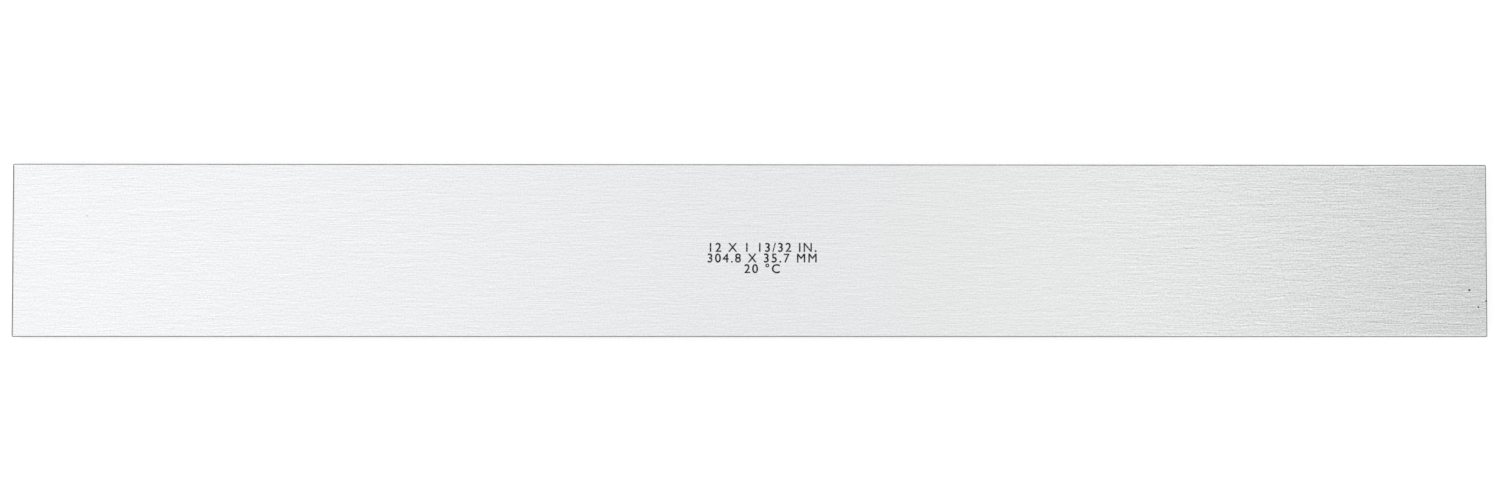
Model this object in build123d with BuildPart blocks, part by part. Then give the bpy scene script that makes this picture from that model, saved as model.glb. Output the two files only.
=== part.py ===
"""Steel straight edge: one flat ground bar with two parallel working edges, lying on a broad face."""

import os

from build123d import *

# Driving dimensions, in millimetres
length = 304.8  # 12 in, from end to end
width = 35.72  # 1 13/32 in, from working edge to working edge
thickness = 4.37  # 11/64 in, between the two broad faces
corner_radius = 0.3  # each corner, seen from above
arris_break = 0.2  # 45 degree break round both broad faces

# The origin is the middle of the lower broad face. X runs along the bar, Y across it and Z up.
with BuildPart() as straight_edge:
    with BuildSketch(Plane.XY) as outline:
        Rectangle(length, width)
        fillet(outline.vertices(), radius=corner_radius)
    extrude(amount=thickness)

    # The arrises are stoned all the way round, so that no burr lifts a face or an edge off the work.
    broad_faces = straight_edge.faces().filter_by(Axis.Z)
    chamfer(broad_faces.edges(), length=arris_break)

straight_edge.part.label = "straight_edge"

os.makedirs("parts", exist_ok=True)
export_step(straight_edge.part, "parts/straight_edge.step")
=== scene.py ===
from math import radians

import bmesh
import bpy
from mathutils import Matrix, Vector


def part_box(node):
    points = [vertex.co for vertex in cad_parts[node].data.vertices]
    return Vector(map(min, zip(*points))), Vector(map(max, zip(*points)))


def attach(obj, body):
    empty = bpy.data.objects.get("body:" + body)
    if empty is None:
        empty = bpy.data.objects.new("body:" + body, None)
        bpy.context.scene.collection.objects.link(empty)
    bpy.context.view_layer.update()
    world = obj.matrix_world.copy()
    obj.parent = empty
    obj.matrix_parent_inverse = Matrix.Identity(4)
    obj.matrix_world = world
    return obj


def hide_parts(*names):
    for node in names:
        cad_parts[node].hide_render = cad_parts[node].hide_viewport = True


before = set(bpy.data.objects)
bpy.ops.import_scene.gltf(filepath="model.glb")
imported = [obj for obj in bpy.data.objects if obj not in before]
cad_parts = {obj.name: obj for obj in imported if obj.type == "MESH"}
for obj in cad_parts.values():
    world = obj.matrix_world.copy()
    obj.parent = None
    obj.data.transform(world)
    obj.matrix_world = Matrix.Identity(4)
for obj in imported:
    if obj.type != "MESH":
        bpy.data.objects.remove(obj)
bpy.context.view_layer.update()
barLow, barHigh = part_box("straight_edge")
barMiddle = (barLow + barHigh) / 2
barSize = barHigh - barLow
faceHeight = barHigh.z  # the upper broad face, where the marks are
print("frame loaded, bar", [round(side * 1000, 2) for side in barSize], "mm")


# shader maths as plain expressions, each operator adds one Math node
class Signal:
    def __init__(self, shop, socket):
        self.shop = shop
        self.socket = socket

    def math(self, operation, *others, clamp=False):
        inputs = {index: value for index, value in enumerate((self, *others))}
        return self.shop.add("ShaderNodeMath", {"operation": operation, "use_clamp": clamp}, inputs)

    def __add__(self, other):
        return self.math("ADD", other)

    def __mul__(self, other):
        return self.math("MULTIPLY", other)

    def __sub__(self, other):
        return self.math("SUBTRACT", other)

    def __rsub__(self, other):
        return self.shop.add("ShaderNodeMath", {"operation": "SUBTRACT"}, {0: other, 1: self})

    __radd__ = __add__
    __rmul__ = __mul__

    def __abs__(self):
        return self.math("ABSOLUTE")

    # 0 below low, 1 above high and smooth between
    def ramp(self, low, high):
        settings = {"interpolation_type": "SMOOTHSTEP"}
        return self.shop.add("ShaderNodeMapRange", settings, {"Value": self, "From Min": low, "From Max": high})

    # 1 within half of the middle, 0 past half + soft
    def near(self, middle, half, soft):
        return 1 - abs(self - middle).ramp(half, half + soft)


# the node tree of a material or of the world
class Workshop:
    def __init__(self, tree):
        self.tree = tree
        self.tree.nodes.clear()

    # adds any node: its settings first, then values or links for its sockets
    def add(self, kind, settings=None, inputs=None, output=0):
        node = self.tree.nodes.new(kind)
        for name, value in (settings or {}).items():
            setattr(node, name, value)
        for name, value in (inputs or {}).items():
            if isinstance(value, Signal):
                self.tree.links.new(value.socket, node.inputs[name])
            else:
                node.inputs[name].default_value = value
        if not node.outputs:
            return None
        return Signal(self, node.outputs[output])

    # object coordinates in metres, moved to a centre, turned and divided by a cell's size
    def place(self, centre=(0, 0, 0), turn=0, cell=(1, 1, 1)):
        here = self.add("ShaderNodeTexCoord", output="Object")
        settings = {"vector_type": "TEXTURE"}
        inputs = {"Vector": here, "Location": centre, "Rotation": (0, 0, radians(turn)), "Scale": cell}
        return self.add("ShaderNodeMapping", settings, inputs)

    def axis(self, vector, name):
        return self.add("ShaderNodeSeparateXYZ", inputs={0: vector}, output=name)

    # noise in a plane, -0.5 to 0.5
    def flatNoise(self, x, y, detail=0, roughness=0.5, lacunarity=2):
        where = self.add("ShaderNodeCombineXYZ", inputs={"X": x, "Y": y})
        inputs = {"Vector": where, "Scale": 1, "Detail": detail, "Roughness": roughness, "Lacunarity": lacunarity}
        return self.add("ShaderNodeTexNoise", {"noise_dimensions": "2D"}, inputs) - 0.5

    # noise in space, 0 to 1
    def noise(self, where, detail=2, seed=0):
        inputs = {"Vector": where, "W": seed, "Scale": 1, "Detail": detail}
        return self.add("ShaderNodeTexNoise", {"noise_dimensions": "4D"}, inputs)

    def blend(self, amount, first, second):
        inputs = {"Factor": amount, 6: first, 7: second}
        return self.add("ShaderNodeMix", {"data_type": "RGBA"}, inputs, output=2)

    # multiplies a colour by a plain number signal
    def shade(self, colour, level):
        return self.add("ShaderNodeVectorMath", {"operation": "SCALE"}, {0: colour, "Scale": level})

    def finish(self, shader, kind="ShaderNodeOutputMaterial"):
        self.add(kind, inputs={"Surface": shader})


def newMaterial(name):
    material = bpy.data.materials.new(name)
    material.use_nodes = True
    return material, Workshop(material.node_tree)


barForm = {
    "cornerRadius": 0.0003,  # upright corners, seen from above
    "cornerSteps": 4,
    "arrisBreak": 0.0002,  # 45 degree break round both broad faces
}


# scratches and stains on the upper face, and in the last row a painted shade line beside the left arris: x, y, half
# sizes along x and y in millimetres, change of level
markEdge = 0.0001  # how softly they end
faceMarksAndShade = [
    (147.20, 11.0, 0.05, 2.9, 0.12),
    (147.75, 10.2, 0.04, 2.0, 0.06),
    (151.40, 14.96, 0.45, 0.05, -0.16),
    (119.05, 12.44, 0.50, 0.05, -0.12),
    (-137.00, 7.09, 0.50, 0.04, -0.06),
    # painted shade: a dark line along the face beside the left arris
    (-152.15, 0.0, 0.05, 17.40, -0.42),
]


# ground steel: rows of fine scratches along the bar, as a surface grinder leaves them
steelFinish = {
    "cool": (0.800, 0.8055, 0.8200, 1),  # tint of the left and middle
    "warm": (0.791, 0.8055, 0.7975, 1),  # tint of the right
    "tintEdge": 0.034,  # where one gives way to the other, from the middle of the bar
    "tintBlend": 0.012,  # over this far to each side
    "tintWander": 0.05,  # this much of it strays, in patches of wanderCell
    "wanderCell": (0.03, 0.02, 0.02),
    "roughness": 0.34,
    "roughnessChange": -0.03,  # a bright scratch is a little smoother
    "rows": [0.00014, 0.00017, 0.00021],  # pitches of three sets of scratches, one over the other
    "rowJump": 7.31,  # cells of noise from one row to the next, so that no two rows are alike
    "setShift": (9.7, 3.9),  # and from one set to the next
    "scratchLength": 0.0088,
    "scratchDetail": {"detail": 3, "roughness": 0.9, "lacunarity": 2.6},
    "scratchContrast": 0.275,
    "lipShare": 0.7,  # a scratch has its opposite in the next row, as a groove has its lip
    "sway": 0.0003,  # how far the rows stray across the bar, so that no pitch is even
    "swayLength": 0.25,
    "swayWidth": 0.0011,
    "speckle": 0.00035,
    "speckleContrast": 0.16,
    "coarseFrom": 0.045,  # the finish grows coarser from here to the right end
    "coarseTo": 0.150,
    "coarseGain": 1.50,
    "paintedHighlightWidth": 0.00045,  # painted highlight: a lighter line beside the arris, plainer where the finish is coarse
    "paintedHighlightGain": 0.24,
    "paintedBackShadeFrom": 0.06,  # painted shade: the arris at the back turns darker from here to the right end
    "paintedBackShadeTo": 0.135,
}


def steelMaterial(name, turn=0, grain=1.0, roughness=steelFinish["roughness"], bright=1.0, paintedBackShade=0, marks=()):
    look = steelFinish
    material, shop = newMaterial(name)
    place = shop.place()
    x = shop.axis(place, "X")
    y = shop.axis(place, "Y")
    upper = shop.axis(place, "Z").ramp(barMiddle.z, faceHeight)
    here = shop.place(turn=turn)
    along = shop.axis(here, "X")
    across = shop.axis(here, "Y") + shop.axis(here, "Z")
    drift = shop.flatNoise(along * (1 / look["swayLength"]), across * (1 / look["swayWidth"]))
    across = across + drift * look["sway"]

    # one set of rows, each row with its own run of scratches
    def scratches(number, pitch, step=0):
        row = (across * (1 / pitch) + step).math("FLOOR")
        runShift, rowShift = look["setShift"]
        run = along * (1 / look["scratchLength"]) + runShift * number
        return shop.flatNoise(run, row * look["rowJump"] + rowShift * number, **look["scratchDetail"])

    change = 0
    for number, pitch in enumerate(look["rows"]):
        change = scratches(number, pitch) - scratches(number, pitch, step=1) * look["lipShare"] + change
    reach = x.ramp(look["coarseFrom"], look["coarseTo"])
    coarse = 1 + reach * look["coarseGain"]
    speckle = shop.flatNoise(x * (1 / look["speckle"]), y * (1 / look["speckle"])) * look["speckleContrast"]
    # painted highlight: lighter colour in a thin band beside the arris, growing towards the right end
    arrisInnerEdge = barSize.y / 2 - barForm["arrisBreak"]
    paintedHighlight = abs(y).ramp(arrisInnerEdge - look["paintedHighlightWidth"], arrisInnerEdge - look["paintedHighlightWidth"] / 2)
    level = 1 + (change * look["scratchContrast"] + speckle) * coarse * grain + paintedHighlight * reach * reach * look["paintedHighlightGain"]
    # the marks, among them a painted shade line at the left end
    for markX, markY, halfX, halfY, gain in marks:
        spot = x.near(markX / 1000, halfX / 1000, markEdge) * y.near(markY / 1000, halfY / 1000, markEdge)
        level = level + spot * upper * gain
    # painted shade: darker towards the right end on the back half of the bar
    if paintedBackShade:
        level = level * (1 - x.ramp(look["paintedBackShadeFrom"], look["paintedBackShadeTo"]) * y.ramp(0, barHigh.y) * paintedBackShade)
    wander = shop.noise(shop.place(cell=look["wanderCell"]), seed=4) - 0.5
    tintFrom = look["tintEdge"] - look["tintBlend"]
    tintTo = look["tintEdge"] + look["tintBlend"]
    tintSide = (x + wander * look["tintWander"]).ramp(tintFrom, tintTo)
    tint = shop.blend(tintSide, look["cool"], look["warm"])
    # bright below 1 darkens the colour: painted shade on the arris breaks
    shader = shop.add("ShaderNodeBsdfPrincipled", inputs={
        "Base Color": shop.shade(tint, level * bright),
        "Metallic": 1.0,
        "Roughness": roughness + change * look["roughnessChange"],
    })
    shop.finish(shader)
    return material


etchLook = {
    "black": (0.006, 0.007, 0.010, 1),
    "worn": (0.240, 0.245, 0.250, 1),
    "wornFrom": 0.52,  # patches of noise above this are worn, and wholly so above wornTo
    "wornTo": 0.66,
    "patch": 0.00035,
    "metallic": 0.3,
    "roughness": 0.65,
}


def etchMaterial():
    material, shop = newMaterial("blackEtch")
    patches = shop.noise(shop.place(cell=[etchLook["patch"]] * 3), detail=3, seed=9)
    worn = patches.ramp(etchLook["wornFrom"], etchLook["wornTo"])
    shader = shop.add("ShaderNodeBsdfPrincipled", inputs={
        "Base Color": shop.blend(worn, etchLook["black"], etchLook["worn"]),
        "Metallic": etchLook["metallic"],
        "Roughness": etchLook["roughness"],
    })
    shop.finish(shader)
    return material


faceSteel = steelMaterial("faceSteel", marks=faceMarksAndShade)
edgeSteel = steelMaterial("edgeSteel", grain=0.6, roughness=0.28)
endSteel = steelMaterial("endSteel", turn=90, grain=0.8, roughness=0.36)
# painted shade: the arris breaks get a darker colour through bright, nearly black at both ends and darker towards
# the right end at the back, as a dark outline round the bar
arrisSteelPaintedShade = steelMaterial("arrisSteelPaintedShade", grain=0.8, roughness=0.45, bright=0.48, paintedBackShade=0.38)
leftArrisPaintedShade = steelMaterial("leftArrisPaintedShade", turn=90, grain=0.8, roughness=0.45, bright=0.05)
rightArrisPaintedShade = steelMaterial("rightArrisPaintedShade", turn=90, grain=0.8, roughness=0.45, bright=0.11)
blackEtch = etchMaterial()
materialOrder = [faceSteel, edgeSteel, endSteel, arrisSteelPaintedShade, leftArrisPaintedShade, rightArrisPaintedShade, blackEtch]
print("materials ready")


def pieceFromMesh(name, mesh, *materials):
    for material in materials:
        mesh.materials.append(material)
    piece = bpy.data.objects.new(name, mesh)
    bpy.context.scene.collection.objects.link(piece)
    return piece


# the mesh of an object with its modifiers or its text outline applied
def bakedMesh(thing):
    graph = bpy.context.evaluated_depsgraph_get()
    return bpy.data.meshes.new_from_object(thing.evaluated_get(graph), depsgraph=graph)


def dropObject(thing):
    bpy.data.objects.remove(thing)


def bevelEdges(bm, edges, offset, segments):
    bmesh.ops.bevel(bm, geom=edges, offset=offset, offset_type="OFFSET", affect="EDGES",
                    segments=segments, profile=0.5, material=-1)


def makeBarMesh():
    bm = bmesh.new()
    bmesh.ops.create_cube(bm, size=1, matrix=Matrix.LocRotScale(barMiddle, None, barSize))
    upright = [edge for edge in bm.edges if abs(edge.verts[0].co.z - edge.verts[1].co.z) > barSize.z / 2]
    bevelEdges(bm, upright, barForm["cornerRadius"], barForm["cornerSteps"])
    broadFaces = [face for face in bm.faces if abs(face.normal.z) > 0.9]
    rims = {edge for face in broadFaces for edge in face.edges}
    bevelEdges(bm, list(rims), barForm["arrisBreak"], 1)
    mesh = bpy.data.meshes.new("straightEdge")
    bm.to_mesh(mesh)
    bm.free()
    return mesh


# etched mark: the size in inches and in millimetres, and the temperature at which it holds
sizeMark = {
    "lines": ["12 X 1 13/32 IN.", "304.8 X 35.7 MM", "20 \u00b0C"],
    "centre": (0.0021, -0.00165),
    "letterSize": 0.00262,
    "lineGap": 0.0022,
    "spread": 1.24,  # letter spacing
    "boldness": 0.000055,  # the strokes grow this much each way
    "curveSteps": 4,
    "weld": 0.0000005,
    "depth": 0.00006,
    "floorThickness": 0.00002,  # black layer left on the floor of the etching
    "floorSink": 0.00001,  # the layer reaches this far into the steel below
    "floorGrow": 0.000004,  # and this far into the sides
}


def markMesh(low, high, grow):
    joined = bmesh.new()
    count = len(sizeMark["lines"])
    for row, words in enumerate(sizeMark["lines"]):
        letters = bpy.data.curves.new("letters", "FONT")
        letters.body = words
        letters.size = sizeMark["letterSize"]
        letters.space_character = sizeMark["spread"]
        letters.align_x = "CENTER"
        letters.align_y = "CENTER"
        letters.resolution_u = sizeMark["curveSteps"]
        letters.extrude = (high - low) / 2
        text = bpy.data.objects.new("letters", letters)
        bpy.context.scene.collection.objects.link(text)
        mesh = bakedMesh(text)
        dropObject(text)
        rise = ((count - 1) / 2 - row) * sizeMark["lineGap"]
        x, y = sizeMark["centre"]
        mesh.transform(Matrix.Translation((x, y + rise, (high + low) / 2)))
        joined.from_mesh(mesh)
    bmesh.ops.remove_doubles(joined, verts=joined.verts, dist=sizeMark["weld"])
    bmesh.ops.recalc_face_normals(joined, faces=joined.faces)
    joined.normal_update()
    for vert in joined.verts:
        vert.co.xy += vert.normal.xy.normalized() * (sizeMark["boldness"] + grow)
    mesh = bpy.data.meshes.new("sizeMark")
    joined.to_mesh(mesh)
    joined.free()
    return mesh


# small pits, as places on the upper face in millimetres from its middle, the third a nick in the end
wear = {
    "stretch": 1.3,  # a pit is this much longer along the bar
    "pits": [  # x, y, length, depth
        (148.69, -8.12, 0.52, 0.18),
        (150.53, -11.65, 0.46, 0.18),
        (152.25, -10.41, 0.56, 0.14),
        (142.19, 8.71, 0.21, 0.04),
        (-137.06, 7.09, 0.22, 0.04),
        (90.00, 0.37, 0.15, 0.03),
        (91.94, 9.51, 0.15, 0.03),
    ],
}


def carve(mesh, cutters):
    bar = pieceFromMesh("blank", mesh, *materialOrder)
    for index, cutter in enumerate(cutters):
        tool = pieceFromMesh("cutter", cutter, blackEtch)
        cut = bar.modifiers.new(f"cut{index}", "BOOLEAN")
        cut.operation = "DIFFERENCE"
        cut.solver = "EXACT"
        cut.use_self = True  # bold strokes run into each other at their corners
        cut.material_mode = "TRANSFER"
        cut.object = tool
        carved = bakedMesh(bar)
        bar.modifiers.clear()
        dropObject(tool)
        bar.data = carved
    dropObject(bar)
    return carved


def pitCutters():
    bm = bmesh.new()
    for x, y, length, depth in wear["pits"]:
        place = Matrix.Translation((x / 1000, y / 1000, faceHeight))
        halfLength = length / 2000
        form = Matrix.Diagonal((halfLength, halfLength / wear["stretch"], depth / 1000, 1))
        bmesh.ops.create_icosphere(bm, subdivisions=2, radius=1, matrix=place @ form)
    mesh = bpy.data.meshes.new("pits")
    bm.to_mesh(mesh)
    bm.free()
    return mesh


barMesh = makeBarMesh()
markTool = markMesh(faceHeight - sizeMark["depth"], faceHeight + sizeMark["depth"], 0)
carvedMesh = carve(barMesh, [markTool, pitCutters()])
print("bar carved:", len(carvedMesh.vertices), "points,", len(carvedMesh.polygons), "faces")


# one map for the whole bar: both broad faces at full length, the narrow sides in strips between
mapLayout = {
    "margin": 0.004,
    "topStart": 0.004,
    "bottomStart": 0.454,
    "broadHeight": 0.44,
    "sideStart": 0.904,
    "sideHeight": 0.018,
    "sideStep": 0.022,
    "etchStart": 0.985,  # the etched faces share a small patch
    "etchSize": (0.02, 0.01),
}


def unwrapBar(mesh):
    bm = bmesh.new()
    bm.from_mesh(mesh)
    layer = bm.loops.layers.uv.new("OFBake")
    margin = mapLayout["margin"]
    span = 1 - 2 * margin
    for face in bm.faces:
        n = face.normal
        etched = face.material_index == materialOrder.index(blackEtch)
        for loop in face.loops:
            along = (loop.vert.co.x - barLow.x) / barSize.x
            across = (loop.vert.co.y - barLow.y) / barSize.y
            up = (loop.vert.co.z - barLow.z) / barSize.z
            if etched:
                etchWidth, etchHeight = mapLayout["etchSize"]
                spot = (margin + etchWidth * along, mapLayout["etchStart"] + etchHeight * across)
            elif n.z > 0.5:
                spot = (margin + span * along, mapLayout["topStart"] + mapLayout["broadHeight"] * across)
            elif n.z < -0.5:
                spot = (margin + span * along, mapLayout["bottomStart"] + mapLayout["broadHeight"] * across)
            elif abs(n.y) > 0.5:
                row = 0 if n.y > 0 else 1
                start = mapLayout["sideStart"] + row * mapLayout["sideStep"]
                spot = (margin + span * along, start + mapLayout["sideHeight"] * up)
            else:
                row = 2 if n.x > 0 else 3
                start = mapLayout["sideStart"] + row * mapLayout["sideStep"]
                spot = (margin + span * across, start + mapLayout["sideHeight"] * up)
            loop[layer].uv = spot
    bm.to_mesh(mesh)
    bm.free()


def dressBar(mesh):
    for face in mesh.polygons:
        if face.material_index == materialOrder.index(blackEtch):
            continue
        if abs(face.normal.z) > 0.9:
            face.material_index = materialOrder.index(faceSteel)
        elif abs(face.normal.z) > 0.1:
            endBreak = rightArrisPaintedShade if face.normal.x > 0 else leftArrisPaintedShade
            broken = endBreak if abs(face.normal.x) > abs(face.normal.y) else arrisSteelPaintedShade
            face.material_index = materialOrder.index(broken)
        elif abs(face.normal.x) > 0.9:
            face.material_index = materialOrder.index(endSteel)
        else:
            face.material_index = materialOrder.index(edgeSteel)


dressBar(carvedMesh)
unwrapBar(carvedMesh)
bar = pieceFromMesh("steel_bar", carvedMesh)
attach(bar, "root")
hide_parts("straight_edge")

markFloor = faceHeight - sizeMark["depth"]
layerLow = markFloor - sizeMark["floorSink"]
layerHigh = markFloor + sizeMark["floorThickness"]
blackLayer = markMesh(layerLow, layerHigh, sizeMark["floorGrow"])
mark = pieceFromMesh("size_mark", blackLayer, blackEtch)
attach(mark, "root")
print("pieces placed")


stageLook = {
    "floorReach": 60.0,
    "floorColour": (0.70, 0.70, 0.70, 1),
    "floorGlow": 0.54,  # makes the floor white for the camera
    "skyTop": 0.5075,
    "skyRim": 0.133,
    "skyFull": 0.8,  # the sky has its full brightness from this height of a ray
    "leftFrom": -0.244,  # brighter towards the left, between these slants of a ray
    "leftTo": 0.261,
    "leftGain": 1.678,
    "glossShare": 0.25,  # share of the white background that shows in gloss
}


# 1 for what the camera sees, and a share of it for what shows in gloss or through glass
def backdropRays(shop):
    camera = shop.add("ShaderNodeLightPath", output="Is Camera Ray")
    gloss = shop.add("ShaderNodeLightPath", output="Is Glossy Ray")
    through = shop.add("ShaderNodeLightPath", output="Is Transmission Ray")
    return camera + (gloss + through) * stageLook["glossShare"]


def makeFloor():
    material, shop = newMaterial("paleFloor")
    shader = shop.add("ShaderNodeBsdfPrincipled", inputs={
        "Base Color": stageLook["floorColour"],
        "Roughness": 0.9,
        "Emission Color": backdropRays(shop) * stageLook["floorGlow"],
        "Emission Strength": 1,
    })
    shop.finish(shader)
    bm = bmesh.new()
    bmesh.ops.create_grid(bm, x_segments=1, y_segments=1, size=stageLook["floorReach"])
    mesh = bpy.data.meshes.new("floor")
    bm.to_mesh(mesh)
    bm.free()
    floor = pieceFromMesh("floor", mesh, material)


def makeWorld():
    world = bpy.data.worlds.new("studioSky")
    world.use_nodes = True
    bpy.context.scene.world = world
    shop = Workshop(world.node_tree)
    ray = shop.add("ShaderNodeTexCoord", output="Generated")
    height = shop.axis(ray, "Z")
    leftward = shop.axis(ray, "X") * -1
    rise = height.ramp(0, stageLook["skyFull"]) * (stageLook["skyTop"] - stageLook["skyRim"])
    leftSide = leftward.ramp(stageLook["leftFrom"], stageLook["leftTo"])
    level = stageLook["skyRim"] + rise * (1 + leftSide * stageLook["leftGain"])
    white = backdropRays(shop)
    sky = shop.add("ShaderNodeBackground", inputs={"Color": (1, 1, 1, 1), "Strength": level * (1 - white) + white})
    shop.finish(sky, kind="ShaderNodeOutputWorld")


lamps = {
    "mainSoftbox": {"place": (-0.662, 0.03, 0.90), "size": (1.676, 1.20), "watts": 0.805},
    "stripSoftbox": {"place": (0.265, 0.03, 0.90), "size": (0.170, 1.20), "watts": 0.421},
}


def makeLamps():
    for name, look in lamps.items():
        light = bpy.data.lights.new(name, "AREA")
        light.shape = "RECTANGLE"
        light.size, light.size_y = look["size"]
        light.energy = look["watts"]
        lamp = bpy.data.objects.new(name, light)
        lamp.location = look["place"]
        bpy.context.scene.collection.objects.link(lamp)


viewpoint = {
    "lens": 55,  # millimetres
    "sensor": 36,
    "clip": (0.01, 200),
    "place": (-0.0055, -0.01299, 0.47777),
    "tilt": (1.586, -0.615, 0.011),  # degrees
}


def makeCamera():
    camera = bpy.data.cameras.new("camera")
    camera.lens = viewpoint["lens"]
    camera.sensor_width = viewpoint["sensor"]
    camera.clip_start, camera.clip_end = viewpoint["clip"]
    holder = bpy.data.objects.new("camera", camera)
    holder.location = viewpoint["place"]
    holder.rotation_euler = [radians(angle) for angle in viewpoint["tilt"]]
    bpy.context.scene.collection.objects.link(holder)
    bpy.context.scene.camera = holder


makeFloor()
makeWorld()
makeLamps()
makeCamera()
bpy.context.scene.view_settings.view_transform = "Standard"
print("stage, lamps and camera ready")
